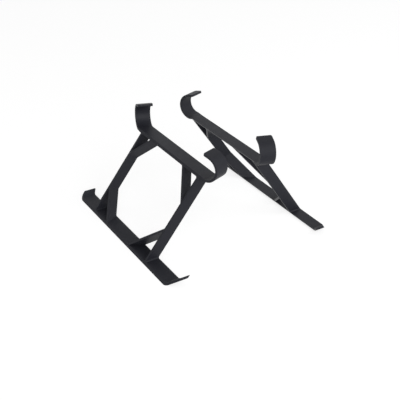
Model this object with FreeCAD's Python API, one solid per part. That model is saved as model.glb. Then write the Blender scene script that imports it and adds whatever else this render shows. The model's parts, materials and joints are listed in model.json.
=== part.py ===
# Clip-on landing gear for a small quadcopter: a left and a right leg frame, each one moulded piece.
# X runs across the aircraft, Y from its tail to its nose and Z up. The origin is on the ground,
# midway between the two frames and midway along their skids. Each frame is drawn with Y counted
# from midway between its posts, and moved along in the end. Lengths are in millimetres and angles
# in degrees.
import FreeCAD
import Part
import math
import os

from FreeCAD import Placement, Rotation, Vector

# The strip that each frame is drawn with
band = 9.4              # width of the strip, measured level across the aircraft
wall = 1.5              # thickness of the strip

# The frame
height = 53.0           # ground to the top of the rail
lean = 36.5             # angle by which the posts lean inwards from upright
post_spacing = 71.0     # over the outsides of the two posts
gauge = 128.0           # over the outer edges of the two skids
rail_overhang = 1.5     # from a post's outside to where the rail starts to turn towards its hook
corner_round = 1.0      # inside corners between posts, rail, skid and braces

# The braces, measured from the inside corner that each one spans, along the frame's outer side
nose_top_run = 17.0     # along the rail
nose_top_drop = 15.5    # down the post
tail_top_run = 12.5
tail_top_drop = 13.0
nose_foot_run = 22.0    # along the skid
nose_foot_rise = 19.5   # up the post
tail_foot_run = 18.0
tail_foot_rise = 16.5

# The skid beyond the posts, with its upturned tips
nose_skid_overhang = 23.5   # from a post's outside to where the tip begins to turn up
tail_skid_overhang = 17.0
tip_radius = 4.0            # at the middle of the wall
nose_tip_angle = 42.0
nose_tip_length = 6.0
tail_tip_angle = 48.0
tail_tip_length = 2.0
nose_tip_taper = 3.0        # by which a tip narrows on its outer side
tail_tip_taper = 0.8
tip_round = 1.6             # corners of the tip's outline

# The hooks that hold the aircraft's arms
arm_sweep = 18.0        # angle of an arm from straight across the aircraft
knee = 3.0              # length over which the rail turns to face its arm
hook_band = 10.5        # width of the hook's strip, along the arm
hook_radius = 7.5       # inside of the curl, which is half the thickness of an arm
hook_curl = 165.0       # angle that the curl turns through
lip_length = 4.0        # straight end that guides the arm in


def heading(angle):
    # Unit vector in the YZ plane, at an angle from +Y towards +Z
    return Vector(0, math.cos(math.radians(angle)), math.sin(math.radians(angle)))


def left_of(angle):
    return heading(angle + 90)


def run_edges(start, angle, length):
    # The two long edges of a straight stretch of strip, and the middle of its far end
    end = start + heading(angle) * length
    sides = []
    for offset in (wall / 2, -wall / 2):
        step = left_of(angle) * offset
        sides.append(Part.makeLine(start + step, end + step))
    return sides, end


def bend_edges(start, angle, radius, turn):
    # The same for a bend to the left, with its radius at the middle of the wall
    centre = start + left_of(angle) * radius
    sides = []
    for offset in (wall / 2, -wall / 2):
        points = [centre - left_of(angle + part * turn) * (radius - offset) for part in (0, 0.5, 1)]
        sides.append(Part.Arc(*points).toShape())
    return sides, centre - left_of(angle + turn) * radius


def strip_face(start, radius, turn, length, lead=0.0):
    # Side view of a strip along +Y: an optional straight lead, a bend upwards and a straight
    # run with a rounded free end
    edges = [Part.makeLine(start - left_of(0) * wall / 2, start + left_of(0) * wall / 2)]
    if lead:
        sides, start = run_edges(start, 0, lead)
        edges += sides
    sides, start = bend_edges(start, 0, radius, turn)
    edges += sides
    sides, start = run_edges(start, turn, length)
    edges += sides
    step = left_of(turn) * wall / 2
    edges.append(Part.Arc(start + step, start + heading(turn) * wall / 2, start - step).toShape())
    return Part.Face(Part.Wire(Part.__sortEdges__(edges)))


def rounded_face(corners, radius):
    # Flat outline with each of its corners rounded
    bends = []
    for before, corner, after in zip(corners[-1:] + corners[:-1], corners, corners[1:] + corners[:1]):
        back = (before - corner).normalize()
        ahead = (after - corner).normalize()
        half_angle = back.getAngle(ahead) / 2
        bisector = (back + ahead).normalize()
        start = corner + back * (radius / math.tan(half_angle))
        end = corner + ahead * (radius / math.tan(half_angle))
        middle = corner + bisector * (radius / math.sin(half_angle) - radius)
        bends.append((start, middle, end))
    outline = []
    for (_, _, last), (start, middle, end) in zip(bends[-1:] + bends[:-1], bends):
        outline.append(Part.makeLine(last, start))
        outline.append(Part.Arc(start, middle, end).toShape())
    return Part.Face(Part.Wire(outline))


def slope():
    return math.tan(math.radians(lean))


def on_outer_side(y, z):
    # Point on the leaning outer side of the right frame
    return Vector(gauge / 2 - z * slope(), y, z)


def leaning_slab():
    # The slanting space between the two sides of the right frame, from post to post
    corners = [on_outer_side(0, 0), on_outer_side(0, height)]
    corners += [corners[1] - Vector(band, 0, 0), corners[0] - Vector(band, 0, 0)]
    outline = Part.Face(Part.makePolygon(corners + corners[:1]))
    slab = outline.extrude(Vector(0, post_spacing, 0))
    slab.translate(Vector(0, -post_spacing / 2, 0))
    return slab


def ring():
    # The posts with the stretches of rail and skid between them
    inside = post_spacing / 2 - wall
    corners = [
        Vector(0, -inside, wall),
        Vector(0, inside, wall),
        Vector(0, inside, height - wall),
        Vector(0, -inside, height - wall)]
    opening = rounded_face(corners, corner_round).extrude(Vector(gauge, 0, 0))
    return leaning_slab().cut(opening)


def brace_ends():
    # Where the open side of each brace meets rail or skid, and where it meets its post,
    # both on the outer side
    inside = post_spacing / 2 - wall
    ends = []
    for side, level, run, rise in (
            (1, height - wall, nose_top_run, -nose_top_drop),
            (-1, height - wall, tail_top_run, -tail_top_drop),
            (1, wall, nose_foot_run, nose_foot_rise),
            (-1, wall, tail_foot_run, tail_foot_rise)):
        ends.append((on_outer_side(side * (inside - run), level), on_outer_side(side * inside, level + rise)))
    return ends


def brace(flat_end, post_end):
    # A plate square to the leaning frame, cut off at the outsides of post, rail and skid
    inward = Vector(-math.cos(math.radians(lean)), 0, -math.sin(math.radians(lean)))
    along = (post_end - flat_end).normalize()
    corner = on_outer_side(post_end.y, flat_end.z)
    to_corner = along.cross(inward)
    if to_corner.dot(corner - flat_end) < 0:
        to_corner = -to_corner
    spare = band            # length beyond both ends, which is cut off again
    first = flat_end - along * spare - inward * wall
    last = post_end + along * spare - inward * wall
    corners = [first, last, last + to_corner * wall, first + to_corner * wall]
    plate = Part.Face(Part.makePolygon(corners + corners[:1])).extrude(inward * (band + 2 * wall))
    return plate.common(leaning_slab())


def tip_reach(angle, length):
    # How far the end of a tip lies beyond the start of its bend
    turn = math.radians(angle)
    return tip_radius * math.sin(turn) + length * math.cos(turn) + wall / 2


def skid_leads():
    # How far it is from midway between the posts to where the skid's two tips begin to turn up
    return post_spacing / 2 + nose_skid_overhang, post_spacing / 2 + tail_skid_overhang


def skid_ends():
    # How far it is from midway between the posts to the ends of the two tips
    nose_bend, tail_bend = skid_leads()
    nose_end = nose_bend + tip_reach(nose_tip_angle, nose_tip_length)
    tail_end = tail_bend + tip_reach(tail_tip_angle, tail_tip_length)
    return nose_end, tail_end


def skid_outline():
    # The leaning space that the skid fills: its outline seen from above, with tapered, rounded tips
    outer = gauge / 2
    nose_bend, tail_bend = skid_leads()
    nose_end, tail_end = skid_ends()
    corners = [
        Vector(outer - band, -tail_end, 0),
        Vector(outer - tail_tip_taper, -tail_end, 0),
        Vector(outer, -tail_bend, 0),
        Vector(outer, nose_bend, 0),
        Vector(outer - nose_tip_taper, nose_end, 0),
        Vector(outer - band, nose_end, 0)]
    return rounded_face(corners, tip_round).extrude(Vector(-height * slope(), 0, height))


def skid():
    across = Vector(gauge, 0, 0)
    start = Vector(0, 0, wall / 2)
    nose_lead, tail_lead = skid_leads()
    nose_half = strip_face(start, tip_radius, nose_tip_angle, nose_tip_length, nose_lead).extrude(across)
    tail_half = strip_face(start, tip_radius, tail_tip_angle, tail_tip_length, tail_lead).extrude(across)
    return nose_half.fuse(tail_half.mirror(Vector(0, 0, 0), Vector(0, 1, 0))).common(skid_outline())


def rail_centre():
    # How far the middle of the rail stands from the aircraft's middle, at the rail's mid-thickness
    return gauge / 2 - band / 2 - (height - wall / 2) * slope()


def rail_section(y):
    # The rail's leaning section
    corners = [
        on_outer_side(y, height - wall),
        on_outer_side(y, height),
        on_outer_side(y, height) - Vector(band, 0, 0),
        on_outer_side(y, height - wall) - Vector(band, 0, 0)]
    return Part.makePolygon(corners + corners[:1])


def hook_placement():
    # Where the nose hook starts and how it is turned to lie square to its arm
    half_turn = math.radians(arm_sweep / 2)
    step = Vector(-math.sin(half_turn), math.cos(half_turn), 0) * knee
    start = Vector(rail_centre(), post_spacing / 2 + rail_overhang, 0) + step
    return Placement(start, Rotation(Vector(0, 0, 1), arm_sweep))


def hook():
    # The rail's end beyond the nose post, the knee in it and the upright curl
    place = hook_placement()
    curl_face = strip_face(Vector(0, 0, height - wall / 2), hook_radius + wall / 2, hook_curl, lip_length)
    curl = curl_face.extrude(Vector(hook_band, 0, 0))
    curl.translate(Vector(-hook_band / 2, 0, 0))
    curl.Placement = place.multiply(curl.Placement)
    half = hook_band / 2
    corners = [
        Vector(half, 0, height - wall),
        Vector(half, 0, height),
        Vector(-half, 0, height),
        Vector(-half, 0, height - wall)]
    start_section = Part.makePolygon([place.multVec(corner) for corner in corners + corners[:1]])
    post_side = post_spacing / 2
    rail_end = Part.makeLoft([rail_section(post_side), rail_section(post_side + rail_overhang)], True, True)
    knee_solid = Part.makeLoft([rail_section(post_side + rail_overhang), start_section], True, True)
    return rail_end.fuse([knee_solid, curl])


def runs_across(edge):
    # Whether an edge joins the outer side of the frame to its inner side
    drifts = [vertex.X + vertex.Z * slope() for vertex in edge.Vertexes]
    return max(drifts) - min(drifts) > band / 2


def corner_edges(frame):
    # The edges across the strip where braces meet posts, rail and skid on their open side,
    # and where the posts meet the skid on the outside
    points = [point for ends in brace_ends() for point in ends]
    points += [on_outer_side(side * post_spacing / 2, wall) for side in (1, -1)]
    same_place = 0.001      # points closer than this are one point
    found = []
    for edge in filter(runs_across, frame.Edges):
        gaps = [(vertex.Point - point).Length for vertex in edge.Vertexes for point in points]
        if min(gaps) < same_place:
            found.append(edge)
    return found


def right_frame():
    parts = [brace(*ends) for ends in brace_ends()]
    nose_hook = hook()
    parts += [skid(), nose_hook, nose_hook.mirror(Vector(0, 0, 0), Vector(0, 1, 0))]
    frame = ring().fuse(parts).removeSplitter()
    frame = frame.Solids[0].makeFillet(corner_round, corner_edges(frame))
    nose_end, tail_end = skid_ends()
    return frame.translated(Vector(0, (tail_end - nose_end) / 2, 0))


def main():
    os.makedirs("parts", exist_ok=True)
    right = right_frame()
    left = right.mirror(Vector(0, 0, 0), Vector(1, 0, 0))
    for name, shape in (("left_leg_frame", left), ("right_leg_frame", right)):
        solid = shape.Solids[0]
        print(name, len(shape.Solids), shape.isValid(), round(shape.Volume), solid.BoundBox)
        solid.exportStep("parts/" + name + ".step")


main()
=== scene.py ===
# Dressing for a clip-on quadcopter landing gear: two black moulded leg frames on a white table
import json
import math

import bmesh
import bpy
from mathutils import Matrix, Vector


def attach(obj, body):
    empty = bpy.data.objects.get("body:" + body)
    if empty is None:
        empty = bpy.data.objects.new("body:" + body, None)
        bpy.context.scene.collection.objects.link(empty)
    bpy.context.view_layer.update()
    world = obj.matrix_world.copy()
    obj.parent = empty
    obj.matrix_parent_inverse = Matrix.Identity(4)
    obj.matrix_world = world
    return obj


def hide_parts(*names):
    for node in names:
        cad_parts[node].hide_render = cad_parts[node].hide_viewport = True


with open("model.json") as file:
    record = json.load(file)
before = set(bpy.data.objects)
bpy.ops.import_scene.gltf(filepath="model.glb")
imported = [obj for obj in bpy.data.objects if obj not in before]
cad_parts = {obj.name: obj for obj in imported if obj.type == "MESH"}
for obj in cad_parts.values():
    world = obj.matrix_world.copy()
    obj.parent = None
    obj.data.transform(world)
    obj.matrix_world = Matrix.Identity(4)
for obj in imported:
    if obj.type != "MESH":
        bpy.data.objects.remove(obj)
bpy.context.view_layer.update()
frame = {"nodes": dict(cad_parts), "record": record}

mm = 0.001                     # metres

# The straight lips at the hooks' free ends, whose corners the mould rounds off
lips = {
    "wall": 1.5,               # mm, the strip's thickness
    "curl": 165.0,             # degrees that a hook turns through before its lip
    "straight": 4.0,           # mm, from the curl to where the lip's end gets round
    "cornerRound": 1.7,        # mm
    "steps": 6,                # flats in each rounded corner
    "spare": 0.6,              # mm by which the cut reaches past the lip
}


def lipCutter(spec, side):
    # What comes off one side's two lips: for each corner a closed prism, hollowed to the round
    curl = math.radians(spec["curl"])
    radius, past = spec["cornerRound"], spec["cornerRound"] + spec["spare"]
    outline = []
    for step in range(spec["steps"] + 1):
        angle = math.radians(90 * step / spec["steps"])
        outline.append((radius * math.cos(angle), radius * math.sin(angle)))
    outline += [(0, past), (past, past), (past, 0)]
    clamps = [mount for mount in frame["record"]["mounts"] if mount["kind"] == "clamp"]
    up = Vector((0, 0, 1))
    bm = bmesh.new()
    for hook in clamps:
        if not hook["name"].startswith(side):
            continue
        curlMiddle = Vector(hook["pos_m"]) / mm
        across = Vector(hook["axis"])                 # along the arm that the hook holds
        ahead = up.cross(across) * math.copysign(1, curlMiddle.y * across.x)
        lipWay = ahead * math.cos(curl) + up * math.sin(curl)
        toLip = ahead * math.sin(curl) - up * math.cos(curl)
        tip = curlMiddle + toLip * (hook["dims"]["r_mm"] + spec["wall"] / 2)
        tip += lipWay * (spec["straight"] + spec["wall"] / 2)
        for edge in (1, -1):
            middle = tip - lipWay * radius
            middle += across * edge * (hook["dims"]["length_mm"] / 2 - radius)
            rim = [middle + across * edge * u + lipWay * v for u, v in outline]
            low = [bm.verts.new((point - toLip * past) * mm) for point in rim]
            high = [bm.verts.new((point + toLip * past) * mm) for point in rim]
            bm.faces.new(low)
            bm.faces.new(high)
            for i in range(len(rim)):
                bm.faces.new((low[i - 1], low[i], high[i], high[i - 1]))
    bmesh.ops.recalc_face_normals(bm, faces=bm.faces)
    mesh = bpy.data.meshes.new("lipCutter")
    bm.to_mesh(mesh)
    bm.free()
    cutter = bpy.data.objects.new("lipCutter", mesh)
    bpy.context.scene.collection.objects.link(cutter)
    return cutter


# What each frame's own mesh gets on top of the CAD form
moulding = {
    "pieces": {"left_leg_frame": "leftLegFrame", "right_leg_frame": "rightLegFrame"},
    "weld": 0.002 * mm,        # the loose triangles are joined within this
    "flatAngle": 0.5,          # degrees, faces this close to one plane become one
    "edgeRound": 0.30 * mm,    # the softened edge that a mould leaves
    "edgeSteps": 3,
    "sharpAngle": 30.0,        # degrees, only edges turned by more than this are rounded
    "flatShading": 60,         # how strongly the large flat faces set the shading at their edges
}


def mouldedCopy(node, name, spec, cutter):
    # A welded copy of the CAD mesh, with its lips and edges softened and its flat faces shaded flat
    bm = bmesh.new()
    bm.from_mesh(frame["nodes"][node].data)
    bmesh.ops.remove_doubles(bm, verts=bm.verts, dist=spec["weld"])
    bmesh.ops.dissolve_limit(
        bm, angle_limit=math.radians(spec["flatAngle"]),
        verts=bm.verts, edges=bm.edges, delimit={"SEAM"})
    mesh = bpy.data.meshes.new(name)
    bm.to_mesh(mesh)
    bm.free()
    mesh.shade_smooth()
    piece = bpy.data.objects.new(name, mesh)
    bpy.context.scene.collection.objects.link(piece)
    trim = piece.modifiers.new("lips", "BOOLEAN")
    trim.operation = "DIFFERENCE"
    trim.solver = "EXACT"
    trim.object = cutter
    bevel = piece.modifiers.new("edges", "BEVEL")
    bevel.width = spec["edgeRound"]
    bevel.segments = spec["edgeSteps"]
    bevel.limit_method = "ANGLE"
    bevel.angle_limit = math.radians(spec["sharpAngle"])
    bevel.use_clamp_overlap = True
    shading = piece.modifiers.new("shading", "WEIGHTED_NORMAL")
    shading.mode = "FACE_AREA"
    shading.weight = spec["flatShading"]
    return piece


def bakedDown(piece):
    # The modifiers' result becomes the piece's own plain mesh
    graph = bpy.context.evaluated_depsgraph_get()
    mesh = bpy.data.meshes.new_from_object(piece.evaluated_get(graph))
    piece.modifiers.clear()
    piece.data = mesh
    return mesh


# Near-black plastic, satin, with the fine grain of a blasted mould; sizes and depths are in mm
plastic = {
    "dark": (0.0128, 0.0134, 0.0178),
    "light": (0.0204, 0.0211, 0.0268),
    "clouds": {"size": 22.0, "detail": 3.0},                         # soft blotches, dark to light
    "sheen": {"size": 9.0, "detail": 2.0, "rough": (0.40, 0.52)},    # patches of more and less shine
    "relief": (
        {"size": 9.0, "detail": 1.0, "depth": 0.020},                # a moulded face's slow unevenness
        {"size": 0.55, "detail": 2.0, "depth": 0.010},               # the mould's grain
    ),
    "gloss": 0.13,
}


def mouldedPlastic(spec):
    material = bpy.data.materials.new("blackMouldedPlastic")
    material.use_nodes = True
    nodes, links = material.node_tree.nodes, material.node_tree.links
    shader = nodes["Principled BSDF"]
    place = nodes.new("ShaderNodeTexCoord")

    def noise(facts):
        texture = nodes.new("ShaderNodeTexNoise")
        texture.inputs["Scale"].default_value = 1.0 / (facts["size"] * mm)
        texture.inputs["Detail"].default_value = facts["detail"]
        links.new(place.outputs["Object"], texture.inputs["Vector"])
        return texture.outputs["Fac"]

    blend = nodes.new("ShaderNodeMix")
    blend.data_type = "RGBA"
    blend.inputs["A"].default_value = (*spec["dark"], 1.0)
    blend.inputs["B"].default_value = (*spec["light"], 1.0)
    links.new(noise(spec["clouds"]), blend.inputs["Factor"])
    links.new(blend.outputs["Result"], shader.inputs["Base Color"])

    sheen = nodes.new("ShaderNodeMapRange")
    sheen.inputs["To Min"].default_value, sheen.inputs["To Max"].default_value = spec["sheen"]["rough"]
    links.new(noise(spec["sheen"]), sheen.inputs["Value"])
    links.new(sheen.outputs["Result"], shader.inputs["Roughness"])

    last = None
    for facts in spec["relief"]:
        bump = nodes.new("ShaderNodeBump")
        bump.inputs["Distance"].default_value = facts["depth"] * mm
        links.new(noise(facts), bump.inputs["Height"])
        if last:
            links.new(last, bump.inputs["Normal"])
        last = bump.outputs["Normal"]
    links.new(last, shader.inputs["Normal"])
    shader.inputs["Specular IOR Level"].default_value = spec["gloss"]
    return material


# A white paper table, which looks plain white and keeps a soft shadow
table = {
    "half": 6.0,               # metres from the middle to each edge
    "paper": (0.84, 0.84, 0.84),
    "paperRough": 0.9,
    "whiteShare": 0.62,        # how much of the paper's look is plain white
    "white": 1.25,             # makes up for the paper's share, so that both together look white
}


def inPlainSight(holder, share):
    # The share for rays from the camera, reflections and glass, and nought for light that bounces
    nodes, links = holder.node_tree.nodes, holder.node_tree.links
    ray = nodes.new("ShaderNodeLightPath")
    seen = ray.outputs["Is Camera Ray"]
    for kind in ("Is Glossy Ray", "Is Transmission Ray"):
        either = nodes.new("ShaderNodeMath")
        either.operation = "MAXIMUM"
        links.new(seen, either.inputs[0])
        links.new(ray.outputs[kind], either.inputs[1])
        seen = either.outputs["Value"]
    part = nodes.new("ShaderNodeMath")
    part.operation = "MULTIPLY"
    part.inputs[1].default_value = share
    links.new(seen, part.inputs[0])
    return part.outputs["Value"]


def whiteTable(spec):
    half = spec["half"]
    mesh = bpy.data.meshes.new("floor")
    corners = [(-half, -half, 0), (half, -half, 0), (half, half, 0), (-half, half, 0)]
    mesh.from_pydata(corners, [], [(0, 1, 2, 3)])
    floor = bpy.data.objects.new("floor", mesh)
    bpy.context.scene.collection.objects.link(floor)
    material = bpy.data.materials.new("tablePaper")
    material.use_nodes = True
    nodes, links = material.node_tree.nodes, material.node_tree.links
    paper = nodes["Principled BSDF"]
    paper.inputs["Base Color"].default_value = (*spec["paper"], 1.0)
    paper.inputs["Roughness"].default_value = spec["paperRough"]
    white = nodes.new("ShaderNodeEmission")
    white.inputs["Strength"].default_value = spec["white"]
    blend = nodes.new("ShaderNodeMixShader")
    links.new(inPlainSight(material, spec["whiteShare"]), blend.inputs["Fac"])
    links.new(paper.outputs["BSDF"], blend.inputs[1])
    links.new(white.outputs["Emission"], blend.inputs[2])
    links.new(blend.outputs["Shader"], nodes["Material Output"].inputs["Surface"])
    mesh.materials.append(material)


# Plain soft light from all round, with two large lamps before the object, left and right
studio = {
    "sky": 0.42,               # how bright the light from all round is
    "backdrop": 1.0,           # how white the world looks past the table
    "lamps": {                 # metres and watts
        "key": {"at": (0.47, 1.07, 0.45), "size": 1.10, "power": 11.5},
        "fill": {"at": (-0.60, 0.70, 0.75), "size": 0.80, "power": 4.0},
    },
}


def lightUp(spec):
    world = bpy.data.worlds.new("studioWorld")
    bpy.context.scene.world = world
    world.use_nodes = True
    nodes, links = world.node_tree.nodes, world.node_tree.links
    sky, white = nodes["Background"], nodes.new("ShaderNodeBackground")
    for glow, strength in ((sky, spec["sky"]), (white, spec["backdrop"])):
        glow.inputs["Color"].default_value = (1.0, 1.0, 1.0, 1.0)
        glow.inputs["Strength"].default_value = strength
    blend = nodes.new("ShaderNodeMixShader")
    links.new(inPlainSight(world, 1.0), blend.inputs["Fac"])
    links.new(sky.outputs["Background"], blend.inputs[1])
    links.new(white.outputs["Background"], blend.inputs[2])
    links.new(blend.outputs["Shader"], nodes["World Output"].inputs["Surface"])
    for name, facts in spec["lamps"].items():
        lamp = bpy.data.lights.new(name, "AREA")
        lamp.size = facts["size"]
        lamp.energy = facts["power"]
        lampObject = bpy.data.objects.new(name, lamp)
        lampObject.location = facts["at"]
        lampObject.rotation_euler = (-Vector(facts["at"])).to_track_quat("-Z", "Y").to_euler()
        bpy.context.scene.collection.objects.link(lampObject)


# The photograph's viewpoint
viewpoint = {
    "eye": (243.5, 347.34, 270.5),         # mm
    "right": (-0.8340, 0.5505, 0.0385),    # the way along the picture's rows
    "down": (0.2601, 0.4537, -0.8524),     # and down its columns
    "focal": 722.3,                        # pixels, in a picture of frameSize pixels
    "frameSize": 400.0,
    "sensor": 36.0,                        # mm
    "nearest": 10.0,                       # mm, nothing closer than this is drawn
}


def cameraAt(spec):
    right = Vector(spec["right"]).normalized()
    up = -Vector(spec["down"])
    up = (up - right * up.dot(right)).normalized()
    turn = Matrix((right, up, right.cross(up))).transposed()
    data = bpy.data.cameras.new("camera")
    data.sensor_width = spec["sensor"]
    data.lens = spec["focal"] / spec["frameSize"] * data.sensor_width
    data.clip_start = spec["nearest"] * mm
    camera = bpy.data.objects.new("camera", data)
    camera.matrix_world = Matrix.Translation(Vector(spec["eye"]) * mm) @ turn.to_4x4()
    bpy.context.scene.collection.objects.link(camera)
    bpy.context.scene.camera = camera


black = mouldedPlastic(plastic)
print("black plastic is ready")
for node, name in moulding["pieces"].items():
    cutter = lipCutter(lips, node.split("_")[0])
    piece = mouldedCopy(node, name, moulding, cutter)
    mesh = bakedDown(piece)
    bpy.data.objects.remove(cutter)
    mesh.materials.clear()
    mesh.materials.append(black)
    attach(piece, "root")
    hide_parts(node)
    print(name, len(mesh.vertices), "points")

whiteTable(table)
lightUp(studio)
cameraAt(viewpoint)
bpy.context.scene.view_settings.view_transform = "Standard"
print("table, lamps and camera are in")
